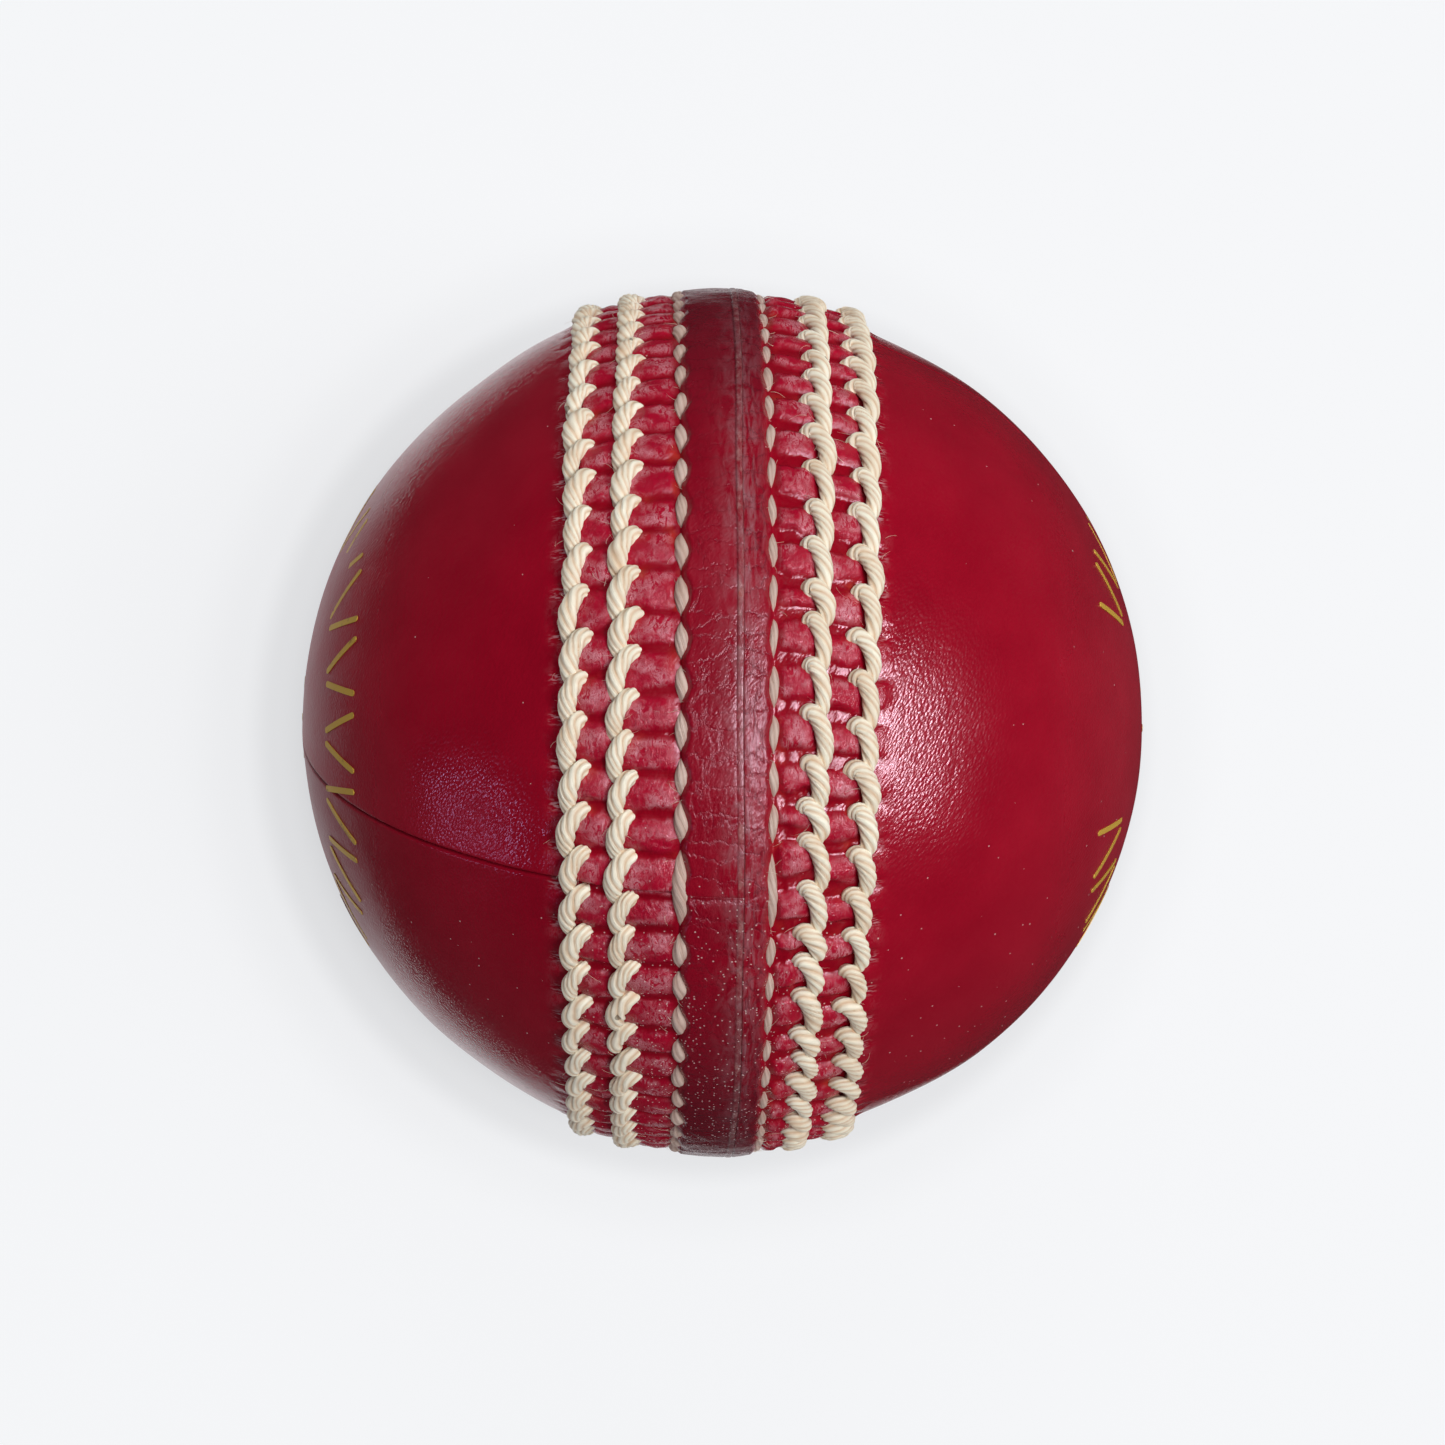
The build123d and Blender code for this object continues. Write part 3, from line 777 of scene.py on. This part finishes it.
    # Quarter joint: a crease with the leather swelling either side, sharper away from the rows.
    along_joint = np.minimum(np.abs(turns), np.abs(math.pi - turns))[None, :] * grid_r
    crease_depth = 0.22 if side < 0 else 0.08
    off_welt = smooth_step(2.6, 3.6, grid_x)
    push += off_welt * (
        -crease_depth * np.exp(-((along_joint / 0.12) ** 2))
        + 0.3 * crease_depth * np.exp(-((along_joint / 1.3) ** 2))
    )
    seam_line = 0.75 * np.exp(-((along_joint / 0.10) ** 2)) * off_welt
    seam_line *= (0.35 + 0.65 * smooth_step(12.0, 26.0, grid_x)) * (1.0 if side < 0 else 0.4)
    line = np.maximum(line, seam_line)

    # Hand-shaped cheeks are never quite true.
    push += 0.07 * slow * smooth_step(13.0, 16.0, grid_x)

    hole = (
        np.exp(-(((grid_x - 6.9) / 1.0) ** 2) - (((to_middle - 0.1) / 0.22) ** 2))
        + np.exp(-(((grid_x - 10.6) / 1.1) ** 2) - (((to_outer - 0.1) / 0.22) ** 2))
        + 0.6 * np.exp(-(((grid_x - 3.9) / 0.6) ** 2) - ((to_inner / 0.4) ** 2))
    )
    # Where the leather puckers beside each outer hole; the material paints pale glints there.
    pucker = smooth_step(11.5, 11.8, grid_x) * (1 - smooth_step(12.2, 13.0, grid_x))
    pucker = pucker * np.exp(-((to_outer / 0.13) ** 2))
    low_end = smooth_step(8.0, 24.0, -grid_r * np.cos(grid_t))
    dust = low_end * (0.05 + 0.95 * (1 - smooth_step(6.0, 11.5, grid_x)))

    place_x = grid_x + push * normal[:, 0:1] + shift_x
    place_r = grid_r + push * normal[:, 1:2]
    place_x[-1] = POLE_X
    place_r[-1] = 0.0
    skin = np.stack([side * place_x, place_r * np.cos(grid_t), place_r * np.sin(grid_t)], -1)

    # Inner face, coarser, and the wall along the join.
    inner_x = x[0]
    inner_start = math.acos(inner_x / LEATHER_INNER_RADIUS)
    inner_angles = np.linspace(inner_start, 0.0, 25)
    inner_columns = 61
    inner_theta = start + np.linspace(0, math.pi, inner_columns)
    inner_grid = []
    for angle in inner_angles:
        ring = LEATHER_INNER_RADIUS * math.sin(angle)
        for turn in inner_theta:
            inner_x = side * LEATHER_INNER_RADIUS * math.cos(angle)
            inner_grid.append((inner_x, ring * math.cos(turn), ring * math.sin(turn)))
    inner_grid = np.array(inner_grid).reshape(len(inner_angles), inner_columns, 3)

    width = len(theta)
    vertices = [skin[:-1].reshape(-1, 3), skin[-1, :1]]
    outer_pole = (stations - 1) * width
    inner_base = outer_pole + 1
    vertices.append(inner_grid[:-1].reshape(-1, 3))
    inner_pole = inner_base + (len(inner_angles) - 1) * inner_columns
    vertices.append(inner_grid[-1, :1])
    vertices = np.concatenate(vertices)

    faces = grid_faces(stations - 1, width)
    last = (stations - 2) * width
    for column in range(width - 1):
        faces.append((last + column, last + column + 1, outer_pole))
    smooth_count = len(faces)
    inner_faces = grid_faces(len(inner_angles) - 1, inner_columns, inner_base)
    faces.extend((b, a, d, c) for a, b, c, d in inner_faces)
    last_inner = inner_base + (len(inner_angles) - 2) * inner_columns
    for column in range(inner_columns - 1):
        faces.append((last_inner + column + 1, last_inner + column, inner_pole))
    join_outer = list(range(width))
    join_inner = [inner_base + column for column in range(inner_columns)]
    faces.append(tuple(join_outer[::-1] + join_inner))
    first_edge = [row * width for row in range(stations - 1)] + [outer_pole]
    last_edge = [row * width + width - 1 for row in range(stations - 2, -1, -1)]
    first_inner = [inner_base + row * inner_columns for row in range(len(inner_angles) - 1)] + [inner_pole]
    last_inner_edge = [
        inner_base + row * inner_columns + inner_columns - 1 for row in range(len(inner_angles) - 2, -1, -1)
    ]
    faces.append(tuple(first_edge + [inner_pole] + first_inner[-2::-1]))
    faces.append(tuple([outer_pole] + last_edge + last_inner_edge[::-1] + [inner_pole]))

    count = len(vertices)
    layers = {}
    looks = {
        "rows": rows, "pillow": pillow, "welt": welt, "crown": crown, "hole": hole, "join": join_mask,
        "line": line, "dust": dust, "ends": welt * smooth_step(0.45, 0.95, np.abs(np.cos(grid_t))),
        "pole": smooth_step(24.0, 33.0, grid_x), "pucker": pucker,
        "cracks": welt * (0.25 if side < 0 else 1.0),
        "panel": np.full(grid_x.shape, 1.0 if name.startswith("left_front") else 0.0),
    }
    for key, values in looks.items():
        flat = np.zeros(count)
        flat[: outer_pole] = np.clip(values[:-1], 0, 1).ravel()
        layers[key] = flat
    along_section = np.concatenate([[0.0], np.cumsum(np.linalg.norm(np.diff(section, axis=0), axis=1))])
    skin_flat = np.zeros((count, 2))
    skin_flat[:outer_pole, 0] = np.repeat(along_section[:-1], width) + (100.0 if side < 0 else 0.0)
    skin_flat[:outer_pole, 1] = np.tile(theta * SKIN_RADIUS, stations - 1)
    skin_flat[outer_pole:, 0] = along_section[-1]
    made = make_object(name, vertices, faces, material, attributes=layers, flat=("skin", skin_flat))
    flags = np.zeros(len(made.data.polygons), bool)
    flags[:smooth_count] = True
    made.data.polygons.foreach_set("use_smooth", flags)
    tidy = bmesh.new()
    tidy.from_mesh(made.data)
    bmesh.ops.recalc_face_normals(tidy, faces=tidy.faces)
    tidy.to_mesh(made.data)
    tidy.free()
    return made


def surface_point(side, x, angle, height):
    """Point at a height above the rows' mean surface."""
    distance = ROWS_RADIUS + height
    radial = np.array([0.0, math.cos(angle), math.sin(angle)])
    tilt = math.asin(x / STITCH_BALL_RADIUS)
    normal = np.array([side * math.sin(tilt), 0, 0]) + radial * math.cos(tilt)
    return normal * distance + np.array([float(seam_shift(side, x, angle)), 0.0, 0.0])


def smooth_path(knots, count):
    """Catmull-Rom curve through knots, evenly sampled."""
    knots = np.asarray(knots, float)
    padded = np.concatenate([[2 * knots[0] - knots[1]], knots, [2 * knots[-1] - knots[-2]]])
    samples = []
    spans = len(knots) - 1
    for step in range(count):
        place = spans * step / (count - 1)
        span = min(int(place), spans - 1)
        t = place - span
        p0, p1, p2, p3 = padded[span:span + 4]
        samples.append(0.5 * (
            2 * p1 + (p2 - p0) * t
            + (2 * p0 - 5 * p1 + 4 * p2 - p3) * t * t
            + (3 * p1 - p0 - 3 * p2 + p3) * t**3
        ))
    return np.array(samples)


def rope(path, radii, plies, lead, up, flatten=1.0, relief=0.22, uneven=0.0):
    """A twisted rope along a path: vertices, faces, how deep between plies, and strand coordinates."""
    rings = len(path)
    around = plies * 6
    tangent = np.gradient(path, axis=0)
    tangent /= np.linalg.norm(tangent, axis=1)[:, None]
    lengths = np.concatenate([[0], np.cumsum(np.linalg.norm(np.diff(path, axis=0), axis=1))])
    side = np.cross(tangent, up)
    side /= np.linalg.norm(side, axis=1)[:, None]
    lift = np.cross(side, tangent)
    phi = (np.arange(around) * 2 * math.pi / around)[None, :]
    twist = phi - (2 * math.pi * lengths / lead)[:, None]
    # Some plies are fatter than others.
    twist = twist + 0.24 * np.sin(twist + uneven) + 0.10 * np.sin(2 * twist + 2.3 * uneven)
    lobe = np.abs(np.cos(plies * twist / 2)) ** 0.75
    reach = np.asarray(radii)[:, None] * (1 - relief + relief * lobe)
    vertices = (
        path[:, None]
        + (reach * np.cos(phi))[..., None] * side[:, None]
        + (reach * np.sin(phi) * flatten)[..., None] * lift[:, None]
    )
    strand = np.stack([np.repeat(lengths[:, None], around, 1), plies * twist / (2 * math.pi)], -1)
    faces = grid_faces(rings, around, closed=True)
    faces.append(tuple(range(around))[::-1])
    faces.append(tuple((rings - 1) * around + step for step in range(around)))
    return vertices.reshape(-1, 3), faces, (1 - lobe).ravel(), strand.reshape(-1, 2)


# Each stitch of an outer or middle row, as knots of a curve: distance outward from the row, distance
# round the ball as a plain length plus a share of the stitch, height over the leather, and thickness.
LEFT_STITCH = (
    (-1.02, 0.22, 0.00, -1.00, 0.72),
    (-1.12, 0.12, 0.00, -0.25, 0.84),
    (-0.95, 0.08, 0.00, 0.34, 0.96),
    (-0.60, 0.26, 0.02, 0.64, 1.00),
    (-0.26, 0.50, 0.14, 0.76, 1.06),
    (0.00, 0.34, 0.36, 0.78, 1.12),
    (0.12, 0.10, 0.66, 0.70, 1.10),
    (0.14, 0.00, 0.92, 0.46, 0.96),
    (0.08, 0.00, 1.12, 0.10, 0.80),
    (-0.02, 0.00, 1.28, -0.50, 0.66),
)
RIGHT_STITCH = (
    (-0.62, 1.25, 0.00, -0.90, 0.70),
    (-0.86, 0.92, 0.00, -0.20, 0.88),
    (-0.88, 0.44, 0.00, 0.42, 1.02),
    (-0.58, 0.20, 0.03, 0.74, 1.06),
    (-0.14, 0.40, 0.12, 0.84, 1.06),
    (0.18, 0.36, 0.34, 0.84, 1.06),
    (0.38, 0.10, 0.66, 0.76, 1.04),
    (0.42, 0.00, 0.93, 0.56, 0.96),
    (0.30, 0.00, 1.14, 0.20, 0.84),
    (0.16, 0.00, 1.30, -0.45, 0.70),
)
PLIES = 6
STITCH_RINGS = 40


def turned_frame(path):
    """Outward directions along a path."""
    return path / np.linalg.norm(path, axis=1)[:, None]


class RowMesh:
    """Gathers the stitches of one row into one mesh."""

    def __init__(self):
        self.vertices, self.faces, self.flat = [], [], []
        self.looks = {"groove": [], "depth": [], "tone": []}
        self.offset = 0

    def add(self, rope_parts, depth, tone, shift):
        vertices, faces, groove, strand = rope_parts
        strand[:, 0] += shift
        self.vertices.append(vertices)
        self.faces.extend(tuple(i + self.offset for i in face) for face in faces)
        self.flat.append(strand)
        self.looks["groove"].append(groove)
        self.looks["depth"].append(depth)
        self.looks["tone"].append(np.full(len(vertices), tone))
        self.offset += len(vertices)

    def finish(self, name, material):
        looks = {key: np.concatenate(values) for key, values in self.looks.items()}
        return make_object(
            name, np.concatenate(self.vertices), self.faces, material, attributes=looks,
            flat=("strand", np.concatenate(self.flat)),
        )


def stitch_row(row, material):
    """One outer or middle row: each stitch hooks over its hole, sweeps outward and tucks under the next."""
    side_name, kind = row.split("_")
    side = -1 if side_name == "left" else 1
    generator = random.Random("thread " + row)
    thickness = settings().thread_radius / MM * (1.0 if side < 0 else 0.98)
    ring_radius = 35.2 if kind == "middle" else 34.6
    knots = LEFT_STITCH if side < 0 else RIGHT_STITCH
    mesh = RowMesh()
    for angle, turn in stitch_steps(row):
        step = turn * ring_radius
        sway = generator.uniform(-0.13, 0.13)
        reach = generator.uniform(0.78, 1.20)
        plump = generator.uniform(0.88, 1.10)
        stand = generator.uniform(-0.04, 0.08)
        path = []
        for across, plain_part, share, height, _ in knots:
            x = ROWS[row] + across * reach + sway
            around = (plain_part + share * step) / ring_radius
            path.append(surface_point(side, x, angle + around, height * (1 + stand) - 0.30))
        path = smooth_path(path, STITCH_RINGS)
        spread = [knot[4] for knot in knots]
        places = np.linspace(0, len(knots) - 1, STITCH_RINGS)
        spread = np.interp(places, np.arange(len(knots)), spread) * plump * thickness
        lead = 5.4 * generator.uniform(0.85, 1.15)
        uneven = generator.uniform(0, 2 * math.pi)
        parts = rope(path, spread, PLIES, lead, turned_frame(path), flatten=0.90, uneven=uneven)
        height = np.linalg.norm(parts[0], axis=1) - ROWS_RADIUS
        depth = 1 - smooth_step(-0.40, 0.06, height)
        mesh.add(parts, depth, generator.random() * (0.7 if side < 0 else 1.0), generator.uniform(0, 50))
    return mesh.finish(f"{row}_stitches", material)


def inner_row(row, material):
    """One inner row: stitches pulled down between welt and leather, so each shows as a lens."""
    side = -1 if row.startswith("left") else 1
    generator = random.Random("thread " + row)
    ring_radius = 36.3
    usual_step = 2 * math.pi / ROW_STITCHES[row] * ring_radius
    thick = 0.56 if side < 0 else 0.40
    base_x = ROWS[row] + 0.06
    shares = np.linspace(0.0, 1.0, 30)
    swell = np.sin(math.pi * shares)
    mesh = RowMesh()
    for angle, turn in stitch_steps(row):
        step = turn * ring_radius
        widest = thick * generator.uniform(0.88, 1.10) * (1.18 if step > 1.5 * usual_step else 1.0)
        skew = generator.uniform(-0.10, 0.10)
        path = []
        for share in shares:
            lift = 0.42 * math.sin(math.pi * share) ** 0.8 - 0.12
            x = base_x + skew * math.sin(2 * math.pi * share)
            path.append(surface_point(side, x, angle + (share * 0.98 + 0.01) * step / ring_radius, lift))
        path = np.array(path)
        spread = widest * (0.26 + 0.74 * swell**1.1)
        parts = rope(path, spread, PLIES, 9.0, turned_frame(path), flatten=0.9, relief=0.14, uneven=skew * 30)
        depth = np.repeat((1 - swell**0.5) * 0.5, PLIES * 6)
        mesh.add(parts, depth, generator.random(), generator.uniform(0, 50))
    return mesh.finish(f"{row}_stitches", material)


def fibre_tufts(material):
    """Short loose fibres that stand out of the thread, as thin three-sided hairs."""
    generator = random.Random("fibres")
    vertices, faces = [], []
    count = settings().loose_fibres
    names = list(ROWS)
    for _ in range(count):
        row = generator.choice(names)
        side = -1 if row.startswith("left") else 1
        angle = generator.uniform(0, 2 * math.pi)
        x = ROWS[row] + generator.gauss(0, 0.55)
        height = 0.25 + generator.uniform(0, 0.4)
        here = surface_point(side, x, angle, height)
        normal = here / np.linalg.norm(here)
        around = np.cross([1.0, 0, 0], normal)
        across = np.cross(normal, around)
        aim = generator.uniform(0, 2 * math.pi)
        heading = math.cos(aim) * around + math.sin(aim) * across
        length = generator.uniform(0.4, 1.5)
        lift = generator.uniform(-0.1, 0.5)
        bend = generator.uniform(-0.8, 0.8)
        sideways = np.cross(heading, normal)
        radius = generator.uniform(0.012, 0.022)
        offset = len(vertices)
        for step in range(5):
            share = step / 4
            spot = here + length * share * (heading + lift * normal * (1 - share) + bend * share * sideways)
            for corner in range(3):
                turn = corner * 2 * math.pi / 3
                thin = radius * (1 - 0.6 * share)
                vertices.append(spot + thin * (math.cos(turn) * normal + math.sin(turn) * sideways))
        faces.extend(grid_faces(5, 3, offset, closed=True))
        faces.append((offset + 2, offset + 1, offset))
        faces.append((offset + 12, offset + 13, offset + 14))
    return make_object("loose_thread_fibres", np.array(vertices), faces, material)


# ---------------------------------------------------------------- operators


def finish_piece(piece, nodes):
    """Fixes a piece to the ball and hides the solids it stands for."""
    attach(piece, "root")
    if nodes:
        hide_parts(*nodes)


class BALL_OT_leather(bpy.types.Operator):
    """Build the four leather quarters with their pleats, welt and joints"""

    bl_idname = "cricket_ball.leather"
    bl_label = "Leather quarters"

    def execute(self, context):
        material = red_leather()
        quarters = (
            ("left_front", -1, LEFT_JOINT, 0),
            ("left_back", -1, LEFT_JOINT, 1),
            ("right_bottom", 1, RIGHT_JOINT, 0),
            ("right_top", 1, RIGHT_JOINT, 1),
        )
        for name, side, joint, half in quarters:
            piece = leather_quarter(f"{name}_leather_quarter", side, joint, half, material)
            finish_piece(piece, [f"leather_quarter_{name}"])
        return {"FINISHED"}


class BALL_OT_stitching(bpy.types.Operator):
    """Build the six rows of hand stitching"""

    bl_idname = "cricket_ball.stitching"
    bl_label = "Stitch rows"

    def execute(self, context):
        colour = tuple(settings().thread_colour)
        bright = linen_thread("waxed_linen_thread", colour, linear("#D2A67A"), 0.9)
        dull = linen_thread("worn_linen_thread", linear("#DCC6BA"), linear("#A8806E"), 0.7)
        for row in ROWS:
            inner = row.endswith("inner")
            piece = inner_row(row, dull) if inner else stitch_row(row, bright)
            finish_piece(piece, [f"stitch_row_{row}"])
        return {"FINISHED"}


class BALL_OT_fibres(bpy.types.Operator):
    """Add the loose fibres of the thread"""

    bl_idname = "cricket_ball.fibres"
    bl_label = "Loose fibres"

    def execute(self, context):
        if settings().show_fibres and settings().loose_fibres:
            material, tree, shader = new_material("loose_linen_fibre")
            shader.inputs["Base Color"].default_value = linear("#E6D8C4")
            shader.inputs["Roughness"].default_value = 0.8
            piece = fibre_tufts(material)
            finish_piece(piece, [])
        return {"FINISHED"}


class BALL_OT_core(bpy.types.Operator):
    """Give the core, linings, hidden threads and foil their finishes"""

    bl_idname = "cricket_ball.core"
    bl_label = "Core and foil finishes"

    def execute(self, context):
        thread = linen_thread("hidden_linen_thread", linear("#E4D8B8"), linear("#B89A68"))
        finishes = {
            "cork": cork(), "yarn": worsted_yarn(), "cup": lining_leather(), "gold": gold_foil(),
            "closing": thread, "quarter": thread,
        }
        for name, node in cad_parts.items():
            finish = finishes.get(name.split("_")[0])
            if finish is not None:
                node.data.materials.clear()
                node.data.materials.append(finish)
        return {"FINISHED"}


class BALL_OT_stage(bpy.types.Operator):
    """Add the plain table, the soft lights and the camera"""

    bl_idname = "cricket_ball.stage"
    bl_label = "Table, lights and camera"

    def execute(self, context):
        build_stage()
        return {"FINISHED"}


def area_light(name, azimuth, elevation, distance, width, height, power, colour="#FFFFFF"):
    """A soft light aimed at the ball from a direction given in degrees."""
    data = bpy.data.lights.new(name, "AREA")
    data.shape = "RECTANGLE"
    data.size, data.size_y = width, height
    data.energy = power
    data.color = linear(colour)[:3]
    light = add_object(name, data)
    a, e = math.radians(azimuth), math.radians(elevation)
    light.location = (
        distance * math.cos(e) * math.cos(a), distance * math.cos(e) * math.sin(a), distance * math.sin(e)
    )
    light.rotation_euler = (-light.location).to_track_quat("-Z", "Y").to_matrix().to_euler()
    return light


def flat_ring(name, centre, inner, outer, height, material):
    """A flat ring of floor, or a disc when its inner radius is none."""
    steps = 96
    turn = np.arange(steps) * 2 * math.pi / steps
    circle = np.stack([np.cos(turn), np.sin(turn), np.zeros(steps)], 1)
    middle = np.array([centre[0], centre[1], height])
    vertices = middle + circle * outer
    faces = [tuple(range(steps))]
    if inner:
        vertices = np.concatenate([vertices, middle + circle * inner])
        faces = grid_faces(2, steps, closed=True)
    mesh = bpy.data.meshes.new(name)
    mesh.from_pydata(vertices.tolist(), [], faces)
    mesh.materials.append(material)
    ring = add_object(name, mesh)
    return ring


def backdrop(radius, bottom, top):
    """A pale wall far behind everything, seen only directly."""
    steps = 64
    turn = np.arange(steps) * 2 * math.pi / steps
    circle = np.stack([radius * np.cos(turn), radius * np.sin(turn)], 1)
    vertices = [(x, y, z) for z in (bottom, top) for x, y in circle]
    faces = grid_faces(2, steps, closed=True)
    faces.append(tuple(range(steps, 2 * steps)))
    material = bpy.data.materials.new("pale_backdrop")
    material.use_nodes = True
    tree = material.node_tree
    tree.nodes.clear()
    output = tree.nodes.new("ShaderNodeOutputMaterial")
    glow = add_node(tree, "ShaderNodeEmission", Color=linear("#F4F5F7"), Strength=1.0)
    tree.links.new(glow.outputs[0], output.inputs["Surface"])
    mesh = bpy.data.meshes.new("backdrop")
    mesh.from_pydata(vertices, [], faces)
    mesh.materials.append(material)
    wall = add_object("backdrop", mesh)
    wall.visible_diffuse = wall.visible_glossy = wall.visible_shadow = wall.visible_transmission = False


def build_stage():
    """The board, the backdrop, the lights and the camera."""
    scene = bpy.context.scene
    floor_z = cad_box[0][2]
    board = table_top()
    # The shiny leather mirrors only the board close by; the rest is too far off to show in it.
    near_centre, near_radius, far_radius = (-0.022, -0.001), 0.062, 4.0
    flat_ring("table_top_near", near_centre, None, near_radius, floor_z, board)
    far = flat_ring("table_top_far", near_centre, near_radius, far_radius, floor_z, board)
    far.visible_glossy = False
    backdrop(3.5, floor_z - 0.1, 2.5)

    world = bpy.data.worlds.new("soft_room")
    world.use_nodes = True
    scene.world = world
    background = world.node_tree.nodes["Background"]
    background.inputs["Color"].default_value = linear("#F4F6FA")
    background.inputs["Strength"].default_value = 0.03

    # A soft box up on the right and a small cool lamp low on the left; each direction is round Z from +X,
    # then up, in degrees, and sizes are in metres.
    area_light("soft_box", -10, 65, 1.2, 0.50, 0.40, 8.2)
    area_light("left_lamp", 200.5, 15.5, 0.9, 0.04, 0.04, 0.27, "#CCC8FF")
    # A narrow window on the right: one light gives its reflection, another the soft light it spills.
    window = area_light("right_window", -1, 48.5, 1.0, 0.58, 0.09, 8.5)
    window.visible_diffuse = False
    spill = area_light("right_spill", 1, 40, 1.0, 0.6, 0.3, 1.4)
    ceiling = area_light("ceiling_bounce", 90, 87, 1.2, 0.9, 0.9, 1.9)
    fill = area_light("far_fill", 84, 46, 1.0, 0.5, 0.3, 2.6)
    # The spill, the ceiling and the far side are broad and dim, so the leather mirrors none of them.
    spill.visible_glossy = ceiling.visible_glossy = fill.visible_glossy = False

    camera_data = bpy.data.cameras.new("camera")
    camera_data.lens = CAMERA_LENS_MM
    camera_data.sensor_width = CAMERA_SENSOR_MM
    camera_data.clip_start = 0.01
    camera = add_object("camera", camera_data)
    camera.location = (-CAMERA_DISTANCE * math.sin(CAMERA_TURN), 0.0, CAMERA_DISTANCE * math.cos(CAMERA_TURN))
    turned = Matrix.Rotation(-CAMERA_TURN, 3, "Y") @ Matrix.Rotation(CAMERA_TURN, 3, "Z")
    camera.rotation_euler = turned.to_euler()
    scene.camera = camera
    scene.view_settings.view_transform = "Standard"
    scene.view_settings.look = "None"


class BALL_PT_panel(bpy.types.Panel):
    """Sizes, colours and steps of the cricket ball"""

    bl_idname = "BALL_PT_panel"
    bl_label = "Cricket ball"
    bl_space_type = "VIEW_3D"
    bl_region_type = "UI"
    bl_category = "Cricket ball"

    def draw(self, context):
        column = self.layout.column()
        for name in settings().bl_rna.properties.keys():
            if name not in ("rna_type", "name"):
                column.prop(settings(), name)
        for operator in OPERATORS:
            column.operator(operator.bl_idname)


OPERATORS = (BALL_OT_leather, BALL_OT_stitching, BALL_OT_fibres, BALL_OT_core, BALL_OT_stage)
CLASSES = (CricketBallSettings, *OPERATORS, BALL_PT_panel)


def register():
    for item in CLASSES:
        bpy.utils.register_class(item)
    bpy.types.Scene.cricket_ball = PointerProperty(type=CricketBallSettings)


def unregister():
    del bpy.types.Scene.cricket_ball
    for item in reversed(CLASSES):
        bpy.utils.unregister_class(item)


def main():
    """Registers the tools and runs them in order."""
    register()
    bpy.ops.cricket_ball.leather()
    bpy.ops.cricket_ball.stitching()
    bpy.ops.cricket_ball.fibres()
    bpy.ops.cricket_ball.core()
    bpy.ops.cricket_ball.stage()


if __name__ == "__main__":
    main()
